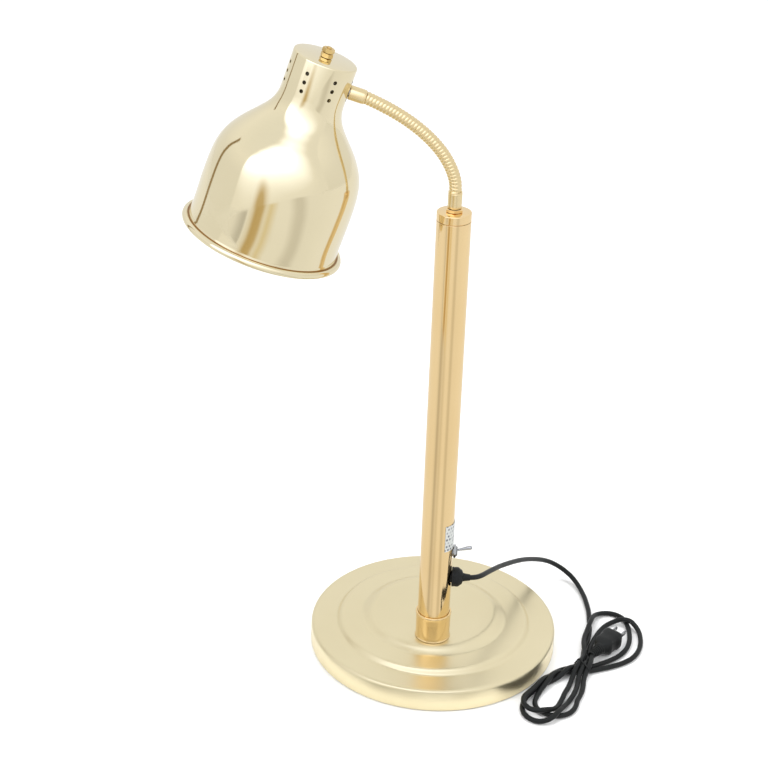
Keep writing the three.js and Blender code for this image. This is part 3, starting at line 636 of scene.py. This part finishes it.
# switch
SW = COL @ T(0, 0, 160.6) @ ROT_X
bush_prof = [(2.6, 16.4), (4.0, 16.0), (5.2, 15.5), (5.6, 15.9)]
for i in range(9):
    z = 16.4 + i * 0.8
    bush_prof += [(5.9, z + 0.1), (5.9, z + 0.3), (5.45, z + 0.6)]
bush_prof += [(5.85, 23.7), (5.6, 24.3), (5.2, 24.6), (4.4, 24.6), (4.0, 24.2)]
bushing = lathe("switch_bushing_threaded", bush_prof, 64, SW, 35, [CHROME])
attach(bushing, "stand")
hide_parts("switch_bushing")
sw_nut = nut("switch_nut_hex", 14, 6.2, 19.5, 22.8, SW, CHROME)
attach(sw_nut, "stand")
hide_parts("switch_nut")
lever = lathe(
    "switch_lever_bat",
    soft([(0, 0.0), (1.0, 0.05), (1.25, 0.5), (1.3, 3), (1.38, 6), (1.6, 9.5), (1.9, 13), (2.2, 16), (2.45, 19), (2.6, 21.2), (2.5, 22.4), (2.05, 23.4), (1.2, 24.05), (0, 24.2)], 3),
    48, COL @ T(18.2, 0, 160.6) @ Matrix.Rotation(math.pi / 2 - math.radians(15), 4, "Y"), 40, [CHROME],
)
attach(lever, "switch_arm")
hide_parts("switch_lever")

# label: a thin film wrapped on the column
verts, uvs, half_a, na, nz_ = [], [], math.radians(61), 48, 10
for layer, r in ((0, 19.58), (1, 19.2)):
    for i in range(nz_ + 1):
        for j in range(na + 1):
            a = -half_a + 2 * half_a * j / na
            z = 168.2 + 34 * i / nz_
            verts.append((r * math.cos(a), r * math.sin(a), z))
            uvs.append((2 * half_a * 19.5 * (j / na) / 34, i / nz_))
n1 = (nz_ + 1) * (na + 1)
f1 = grid_faces(nz_ + 1, na + 1, False, False)
faces = list(f1) + [tuple(n1 + k for k in f[::-1]) for f in f1]
for i in range(nz_):
    for j in (0, na):
        a, b = i * (na + 1) + j, (i + 1) * (na + 1) + j
        faces.append((a, b, n1 + b, n1 + a) if j == 0 else (b, a, n1 + a, n1 + b))
for j in range(na):
    for i in (0, nz_):
        a, b = i * (na + 1) + j, i * (na + 1) + j + 1
        faces.append((b, a, n1 + a, n1 + b) if i == 0 else (a, b, n1 + b, n1 + a))
label = make("rating_label_film", verts, faces, COL, 40, [LABEL], None, uvs)
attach(label, "stand")
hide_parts("rating_label")

# ------------------------------------------------------------------ neck
ARM = COL @ Matrix.Rotation(math.radians(185.5), 4, "Z")
TILT = math.radians(18.2)
HEAD = ARM @ T(140.04, 0, 752.5) @ Matrix.Rotation(-TILT, 4, "Y")
lower = lathe(
    "lower_ferrule_turned",
    [
        (5.4, 590.3), (7.0, 590.3), (7.4, 590.45), (7.65, 590.8), (7.75, 591.3), (7.75, 606.9), (7.55, 607.2), (7.55, 607.7), (7.75, 608.0),
        (7.7, 608.5), (7.45, 608.9), (7.1, 609.0), (3.6, 609.0), (3.6, 604), (5.4, 604),
    ], 96, ARM, 30, [GOLD_HOSE],
)
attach(lower, "neck_1")
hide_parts("lower_ferrule")

LINE = np.array([
    (0, 609.004), (0.087, 611.486), (0.192, 613.965), (0.378, 616.44), (0.698, 618.901), (1.192, 621.333), (1.817, 623.735), (2.548, 626.107),
    (3.366, 628.45), (4.262, 630.765), (5.223, 633.053), (6.25, 635.312), (7.342, 637.541), (8.492, 639.741), (9.697, 641.91), (10.954, 644.05),
    (12.263, 646.159), (13.625, 648.235), (15.042, 650.272), (16.513, 652.271), (18.033, 654.233), (19.596, 656.161), (21.197, 658.058), (22.833, 659.924),
    (24.499, 661.764), (26.203, 663.569), (27.941, 665.341), (29.71, 667.082), (31.508, 668.793), (33.331, 670.477), (35.179, 672.134), (37.047, 673.768),
    (38.939, 675.375), (40.855, 676.952), (42.795, 678.501), (44.755, 680.023), (46.735, 681.519), (48.734, 682.991), (50.75, 684.44), (52.782, 685.865),
    (54.834, 687.261), (56.907, 688.626), (58.998, 689.963), (61.105, 691.275), (63.226, 692.564), (65.359, 693.833), (67.502, 695.085), (69.655, 696.319),
    (71.822, 697.53), (74.001, 698.718), (76.192, 699.885), (78.394, 701.03), (80.606, 702.156), (82.827, 703.264), (85.054, 704.36), (87.287, 705.445),
    (89.527, 706.512), (91.78, 707.555), (94.047, 708.566), (96.33, 709.538), (98.632, 710.466),
])
A0, A1 = 8.0061, 156.9287
SEG_L = (A1 - A0) / 6
arc = np.linspace(0, 1, len(LINE)) * (A1 - A0)


def spline(x, xs, ys):
    """Cubic Hermite through evenly spaced points."""
    h = xs[1] - xs[0]
    d = np.gradient(ys, h, axis=0)
    i = np.clip(((x - xs[0]) / h).astype(int), 0, len(xs) - 2)
    t = ((x - xs[i]) / h)[:, None]
    a, b, da, db = ys[i], ys[i + 1], d[i] * h, d[i + 1] * h
    return (2 * t**3 - 3 * t**2 + 1) * a + (t**3 - 2 * t**2 + t) * da + (-2 * t**3 + 3 * t**2) * b + (t**3 - t**2) * db


def neck_piece(name, a, b, seg=44, pitch=3.9, r_low=6.05, r_high=7.0, bore=4.3):
    n = int(round((b - a) / pitch * 10))
    s = np.linspace(a, b, n + 1)
    c = spline(s, arc, LINE)
    e = 0.3
    t = spline(np.clip(s + e, 0, arc[-1]), arc, LINE) - spline(np.clip(s - e, 0, arc[-1]), arc, LINE)
    t /= np.linalg.norm(t, axis=1)[:, None]
    out_v, in_v = [], []
    for k in range(n + 1):
        nx, nz = -t[k][1], t[k][0]
        for j in range(seg):
            th = 2 * math.pi * j / seg
            f = (s[k] / pitch - j / seg) % 1.0
            r = r_low + (r_high - r_low) * math.sqrt(max(0.0, 1 - (2 * f - 1) ** 2))
            for rr, dest in ((r, out_v), (bore, in_v)):
                dest.append((c[k][0] + rr * math.cos(th) * nx, rr * math.sin(th), c[k][1] + rr * math.cos(th) * nz))
    verts = out_v + in_v
    m_ = len(out_v)
    f1 = grid_faces(n + 1, seg)
    faces = list(f1) + [tuple(m_ + q for q in f[::-1]) for f in f1]
    for j in range(seg):
        k = (j + 1) % seg
        faces.append((j, k, m_ + k, m_ + j))
        faces.append((n * seg + k, n * seg + j, m_ + n * seg + j, m_ + n * seg + k))
    return make(name, verts, faces, ARM, 75, [GOLD_HOSE])


for k in range(5):
    a = 0.1 if k == 0 else SEG_L * (k + 0.5)
    b = A1 - A0 - 0.2 if k == 4 else SEG_L * (k + 1.5)
    o = neck_piece(f"neck_hose_{k + 1}", a, b)
    nodes = [f"neck_link_{k + 1}"] + (["neck_link_6"] if k == 4 else [])
    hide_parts(*nodes)
    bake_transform(o)

# ------------------------------------------------------------------ shade
WX = -34.4
ENTRY = HEAD @ T(0, 0, -27) @ ROT_X
upper = lathe(
    "upper_ferrule_turned",
    [
        (4.9, WX - 0.35), (7.2, WX - 0.35), (7.6, WX - 0.7), (7.75, WX - 1.2), (7.75, WX - 15.4), (7.55, WX - 15.7), (7.55, WX - 16.2), (7.75, WX - 16.5),
        (7.7, WX - 17.3), (7.45, WX - 17.8), (7.1, WX - 18.0), (4.9, WX - 18.0),
    ], 96, ENTRY, 30, [GOLD_HOSE],
)
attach(upper, "head")
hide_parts("upper_ferrule")

shade_out = soft(
    [
        (0, 0), (32.4, 0), (33.5, -0.3), (34.15, -0.95), (34.4, -1.9), (34.4, -38), (34.5, -43), (35.2, -50), (37.6, -58),
        (42.1, -66), (48.4, -74), (55.4, -82), (62.3, -90), (68.6, -98.4), (74.4, -108), (78.8, -120), (81.2, -135),
        (82.2, -158), (82.0, -190), (82.3, -199), (82.7, -203.6), (83.6, -205.3), (84.9, -205.0), (86.3, -204.7), (88.2, -206.0), (89.3, -208.6), (88.7, -210.8), (87.0, -211.9), (85.2, -211.6), (84.2, -210.2),
    ], 5, (1, 4, 5),
)
shade_in = soft(
    [
        (83.5, -207.5), (82.9, -204.0), (81.6, -199), (80.8, -190), (81.0, -158), (80.0, -135.4), (77.7, -120.4), (73.4, -108.6), (67.6, -99.1), (61.4, -90.8),
        (54.5, -82.8), (47.4, -74.8), (41.1, -66.8), (36.5, -58.4), (34.0, -50.2), (33.3, -43), (33.2, -38), (33.2, -2.6), (32.4, -1.3), (0, -1.3),
    ], 4, (15, 16, 17, 18),
)
prof = shade_out + shade_in
unhead = HEAD.inverted()


def crease_painted_shadow_faces(poly):
    """The creased line between the shade's wall and its rolled bead gets a darker, duller dark brown material: painted
    shadow in the crease.
    """
    q = unhead @ poly.center / MM
    return 1 if -205.6 < q.z < -204.5 and 82.7 < math.hypot(q.x, q.y) < 84.7 and (unhead.to_3x3() @ poly.normal).z > -0.9 else 0


# faces in the crease above the bead take the painted-shadow material
shade = lathe("shade_spun", prof, 216, HEAD, 30, [GOLD_SHADE, CREASE_PAINTED_SHADOW], crease_painted_shadow_faces)
cutters = [rod(3.3, -8, 8, HEAD), rod(5.0, WX - 6, WX + 6, ENTRY)]
for c in range(7):
    a = -78.5 + 360 / 7 * c
    for i in range(3):
        turn = Matrix.Rotation(math.radians(a), 4, "Z") @ Matrix.Rotation(-math.pi / 2, 4, "X")
        cutters.append(rod(2.15, 28, 40, HEAD @ T(0, 0, -14 - 9.7 * i) @ turn, 32))
cut(shade, cutters, 30)
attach(shade, "head")
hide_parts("shade")

stud = threaded("top_stud_threaded", 2.5, 2.95, 1.0, -13.4, 11.6, HEAD, BRASS)
n1 = nut("top_nut_low", 11.6, 3.2, 0.3, 5.1, HEAD @ Matrix.Rotation(0.2, 4, "Z"), BRASS)
n2 = nut("top_nut_high", 11.6, 3.2, 5.5, 10.3, HEAD @ Matrix.Rotation(0.55, 4, "Z"), BRASS)
for o, node in ((stud, "top_stud"), (n1, "top_nut_lower"), (n2, "top_nut_upper")):
    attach(o, "head")
    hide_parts(node)
holder = lathe(
    "lampholder_glazed",
    soft(
        [
            (0, -15), (16.6, -15), (18.6, -15.5), (19.5, -17), (19.6, -18.5), (19.6, -31.2), (19.0, -32), (19.0, -33.4), (19.6, -34.2), (19.6, -49.5), (19.2, -51.2),
            (18.0, -52), (15.6, -52), (14.8, -51.6), (14.6, -50.8), (14.6, -21.5), (14.0, -20.6), (13, -20.5), (0, -20.5),
        ], 2, (1, 5, 6, 7, 8, 9, 15, 17),
    ), 96, HEAD, 35, [PORCELAIN],
)
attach(holder, "head")
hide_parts("lampholder")
sock = []
for i in range(57):
    z = -21 - 28 * i / 56
    sock.append((14.0 + 0.25 * math.cos(2 * math.pi * (z + 21) / 3.6), z))
shell = lathe("screw_shell_rolled", sock + [(r - 0.35, z) for r, z in reversed(sock)], 72, HEAD, 60, [BRASS])
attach(shell, "head")
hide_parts("screw_shell")
capp = [(0, -23.0), (4.4, -23.0), (5.0, -23.6), (5.2, -25.5), (11.2, -28), (12.2, -29.2)]
for i in range(49):
    z = -30 - 20 * i / 48
    capp.append((12.75 + 0.35 * math.cos(2 * math.pi * (z + 30) / 3.6), z))
capp += [(13.1, -50.8), (13.1, -53.4), (0, -53.4)]
bcap = lathe("bulb_cap_rolled", capp, 72, HEAD, 60, [STEEL])
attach(bcap, "head")
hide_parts("bulb_cap")
g_out = soft(
    [
        (15.6, -53.7), (17.2, -60), (20.5, -70), (27.5, -84), (36.5, -98), (46.0, -114), (54.6, -130), (60.6, -145), (63.4, -160), (62.8, -167), (60.4, -173.4),
        (56.4, -179), (50.5, -183.6), (42.8, -187.6), (34.0, -190.6), (18, -193.4), (0, -194.2),
    ], 4,
)
g_in = [(max(r - 1.0, 0.0), z + (1.0 if z < -170 else 0.0)) for r, z in reversed(g_out)]
g_in[0] = (0, -193.1)
bulb = lathe(
    "bulb_glass_blown", [(0, -194.2)] + list(reversed(g_out))[1:] + [(14.6, -53.7)] + list(reversed(g_in))[1:-1] + [(0, -193.1)],
    120, HEAD, 40, [MIRROR, FROST],
)
# the aluminised side ends where the frosted face begins
inv = HEAD.inverted()
for p in bulb.data.polygons:
    p.material_index = 1 if (inv @ p.center).z / MM < -163 else 0
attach(bulb, "head")
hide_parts("bulb_glass")

# ------------------------------------------------------------------ finishes of the kept CAD nodes
KEPT = {
    "bottom_plate": STEEL, "base_weight": IRON, "base_spacer": STEEL, "foot_bolt": STEEL, "foot_washer": STEEL, "foot_plug": STEEL, "foot_nut": STEEL,
    "neck_nipple": STEEL, "cap_inner_nut": STEEL, "switch_body": BLACK, "lamp_wire": WIRE, "head_nipple": STEEL, "head_nipple_nut": STEEL,
    "under_nut": STEEL, "holder_bracket": STEEL, "bracket_nut": STEEL, "head_wire": WIRE,
}
for nm, mat in KEPT.items():
    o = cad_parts[nm]
    o.data.materials.clear()
    o.data.materials.append(mat)
    if nm in ("holder_bracket", "switch_body", "foot_washer", "foot_nut", "cap_inner_nut", "bracket_nut", "under_nut", "head_nipple_nut"):
        md = o.modifiers.new("eased", "BEVEL")
        md.width, md.segments, md.limit_method, md.angle_limit = 0.00022, 2, "ANGLE", math.radians(40)

# ------------------------------------------------------------------ studio
floor = lathe("floor", [(0, -0.4), (9000, -0.4), (9000, -1.4), (0, -1.4)], 96, None, 30)
fmat, nt, b = principled("floor_m")
nt.links.new(ramp(nt, noise(nt, coords(nt), 3.0), [(0.3, (0.93, 0.93, 0.93)), (0.7, (0.95, 0.95, 0.95))]), b.inputs["Base Color"])
b.inputs["Roughness"].default_value = 0.9
b.inputs["Specular IOR Level"].default_value = 0.1
floor.data.materials.append(fmat)

world = bpy.data.worlds.new("studio")
bpy.context.scene.world = world
world.use_nodes = True
wn = world.node_tree
bg = wn.nodes["Background"]
tc = wn.nodes.new("ShaderNodeTexCoord")
sep = wn.nodes.new("ShaderNodeSeparateXYZ")
wn.links.new(tc.outputs["Generated"], sep.inputs[0])
wn.links.new(ramp(wn, sep.outputs["Z"], [(0.0, (0.88, 0.88, 0.87)), (0.25, (0.90, 0.90, 0.90)), (0.6, (1.0, 1.0, 1.0)), (1.0, (0.92, 0.93, 0.94))]), bg.inputs["Color"])
bg.inputs["Strength"].default_value = 0.98


def softbox(name, at, aim, size, watts, colour=(1, 1, 1)):
    ld = bpy.data.lights.new(name, "AREA")
    ld.shape = "RECTANGLE"
    ld.size, ld.size_y = size
    ld.energy = watts
    ld.color = colour
    o = bpy.data.objects.new(name, ld)
    bpy.context.scene.collection.objects.link(o)
    o.location = at
    o.rotation_mode = "QUATERNION"
    o.rotation_quaternion = (Vector(aim) - Vector(at)).to_track_quat("-Z", "Y")
    o.visible_glossy = False
    return o


softbox("key", (-1.9, -1.5, 2.6), (-0.1, -0.05, 0.4), (1.5, 1.5), 46)
softbox("fill", (2.1, -1.2, 1.9), (0.0, 0.0, 0.35), (1.2, 1.8), 22)
softbox("top", (0.2, 0.9, 3.0), (0.0, 0.0, 0.3), (2.2, 1.4), 30)


def card(name, corners, faces, origin=(0, 0, 0)):
    """A panel of the studio, seen only in reflections. Returns its object, node tree and emission."""
    me = bpy.data.meshes.new(name)
    me.from_pydata([tuple(Vector(c) - Vector(origin)) for c in corners], [], faces)
    o = bpy.data.objects.new(name, me)
    o.location = origin
    bpy.context.scene.collection.objects.link(o)
    mt = bpy.data.materials.new(name + "_m")
    mt.use_nodes = True
    n = mt.node_tree
    n.nodes.clear()
    e = n.nodes.new("ShaderNodeEmission")
    out = n.nodes.new("ShaderNodeOutputMaterial")
    n.links.new(e.outputs[0], out.inputs[0])
    me.materials.append(mt)
    o.visible_camera = o.visible_diffuse = o.visible_shadow = o.visible_transmission = False
    return o, n, e


def grey(v, tint=(1.0, 1.0, 1.0)):
    return tuple(v * t for t in tint)


def wall(name, a, b, z0, z1):
    """Upright panel between two floor points."""
    o, n, e = card(name, [(*a, z0), (*b, z0), (*b, z1), (*a, z1)], [(0, 1, 2, 3)])
    return n, e


def glow(n, vec, centre, reach):
    """1 at centre, falling smoothly to 0 at the ellipsoid of the given reaches."""
    mp = n.nodes.new("ShaderNodeMapping")
    mp.vector_type = "POINT"
    mp.inputs["Location"].default_value = tuple(-c / r for c, r in zip(centre, reach))
    mp.inputs["Scale"].default_value = tuple(1 / r for r in reach)
    n.links.new(vec, mp.inputs["Vector"])
    g = n.nodes.new("ShaderNodeTexGradient")
    g.gradient_type = "QUADRATIC_SPHERE"
    n.links.new(mp.outputs["Vector"], g.inputs["Vector"])
    return g.outputs["Fac"]


# pale sweep under the lamp, with the soft darker bands that its polished tube and shade pick up
AXIS = (0.0, -0.053, 0.0)
ring = []
for r in (0.172, 0.6, 1.6, 6.0):
    for k in range(96):
        t = 2 * math.pi * k / 96
        ring.append((r * math.cos(t), r * math.sin(t), 0.0006))
o, n, e = card("sweep", ring, grid_faces(4, 96), AXIS)
tcs = n.nodes.new("ShaderNodeTexCoord")
g = n.nodes.new("ShaderNodeTexGradient")
g.gradient_type = "RADIAL"
n.links.new(tcs.outputs["Object"], g.inputs["Vector"])
WARM = (1.0, 0.985, 0.955)
bands = ramp(n, g.outputs["Fac"], [
    (0.0, grey(0.93)), (0.07, grey(0.93)), (0.105, grey(0.86)), (0.135, grey(0.60, WARM)), (0.155, grey(0.66, WARM)), (0.185, grey(0.82)), (0.205, grey(0.76, WARM)), (0.245, grey(0.93)),
    (0.285, grey(0.93)), (0.315, grey(0.74, WARM)), (0.335, grey(0.72, WARM)), (0.365, grey(0.90)), (0.50, grey(0.95)), (1.0, grey(0.93)),
])
n.links.new(bands, e.inputs["Color"])

# big soft panel high in front, brightest to the left
n, e = wall("front_panel", (-1.7, -0.9), (3.4, -0.9), 0.50, 3.4)
t = n.nodes.new("ShaderNodeTexCoord")
spot = glow(n, t.outputs["Object"], (-0.60, -0.9, 1.85), (2.7, 1.0, 1.85))
streak = glow(n, t.outputs["Object"], (-0.52, -0.9, 0.40), (0.24, 1.0, 0.72))
mix = n.nodes.new("ShaderNodeMix")
mix.data_type = "RGBA"
n.links.new(ramp(n, streak, [(0.0, grey(0.0)), (0.12, grey(0.25)), (0.45, grey(0.95)), (1.0, grey(1.0))]), mix.inputs[0])
n.links.new(ramp(n, spot, [(0.0, grey(0.92)), (0.07, grey(0.96)), (0.22, (1.30, 1.34, 1.45)), (0.45, (1.9, 1.98, 2.35))]), mix.inputs[6])
mix.inputs[7].default_value = (0.62, 0.47, 0.24, 1)
n.links.new(mix.outputs[2], e.inputs["Color"])

# dark gap under that panel, where the camera stands
n, e = wall("dark_gap", (-0.95, -1.4), (0.85, -1.4), 0.60, 1.35)
t = n.nodes.new("ShaderNodeTexCoord")
n.links.new(ramp(n, noise(n, t.outputs["Object"], 2.0), [(0.3, (0.03, 0.025, 0.02)), (0.7, (0.06, 0.05, 0.035))]), e.inputs["Color"])

# bright edges of the softboxes on both sides of the gap
for nm, x0, x1 in (("glow_left", -1.9, -0.96), ("glow_right", 0.86, 2.0)):
    n, e = wall(nm, (x0, -1.41), (x1, -1.41), 0.60, 1.6)
    t = n.nodes.new("ShaderNodeTexCoord")
    n.links.new(ramp(n, noise(n, t.outputs["Object"], 2.0), [(0.3, (1.45, 1.42, 1.30)), (0.7, (1.6, 1.56, 1.42))]), e.inputs["Color"])

# narrow dark stand at the left
n, e = wall("stand_left", (-1.33, 0.30), (-1.33, 0.42), 0.0, 1.7)
t = n.nodes.new("ShaderNodeTexCoord")
n.links.new(ramp(n, noise(n, t.outputs["Object"], 2.0), [(0.3, (0.30, 0.22, 0.12)), (0.7, (0.38, 0.28, 0.15))]), e.inputs["Color"])


def patch(name, centre, near, far, az0, az1, z, stops):
    """Darker sector of the sweep, about a floor point. Azimuths are in degrees, from straight ahead, + to the right."""
    pts, m_ = [], 12
    for r in (near, far):
        for k in range(m_ + 1):
            a = math.radians(az0 + (az1 - az0) * k / m_)
            pts.append((centre[0] + r * math.sin(a), centre[1] - r * math.cos(a), z))
    o, n, e = card(name, pts, grid_faces(2, m_ + 1, False, False), (centre[0], centre[1], 0.0))
    t = n.nodes.new("ShaderNodeTexCoord")
    g = n.nodes.new("ShaderNodeTexGradient")
    g.gradient_type = "RADIAL"
    n.links.new(t.outputs["Object"], g.inputs["Vector"])
    n.links.new(ramp(n, g.outputs["Fac"], [(0.25 + a / 360, c) for a, c in stops]), e.inputs["Color"])


patch("sweep_far", (-0.20, -0.10), 0.85, 6.0, -36, 4, 0.0012,
      [(-36, grey(0.92)), (-30, (0.84, 0.80, 0.72)), (-25, (0.58, 0.43, 0.20)), (-17, (0.62, 0.47, 0.24)), (-12, (0.88, 0.85, 0.78)), (-6, (0.80, 0.70, 0.48)), (4, grey(0.92))])

sc = bpy.context.scene
sc.view_settings.view_transform = "Standard"
sc.view_settings.look = "None"
sc.view_settings.exposure = 0.0
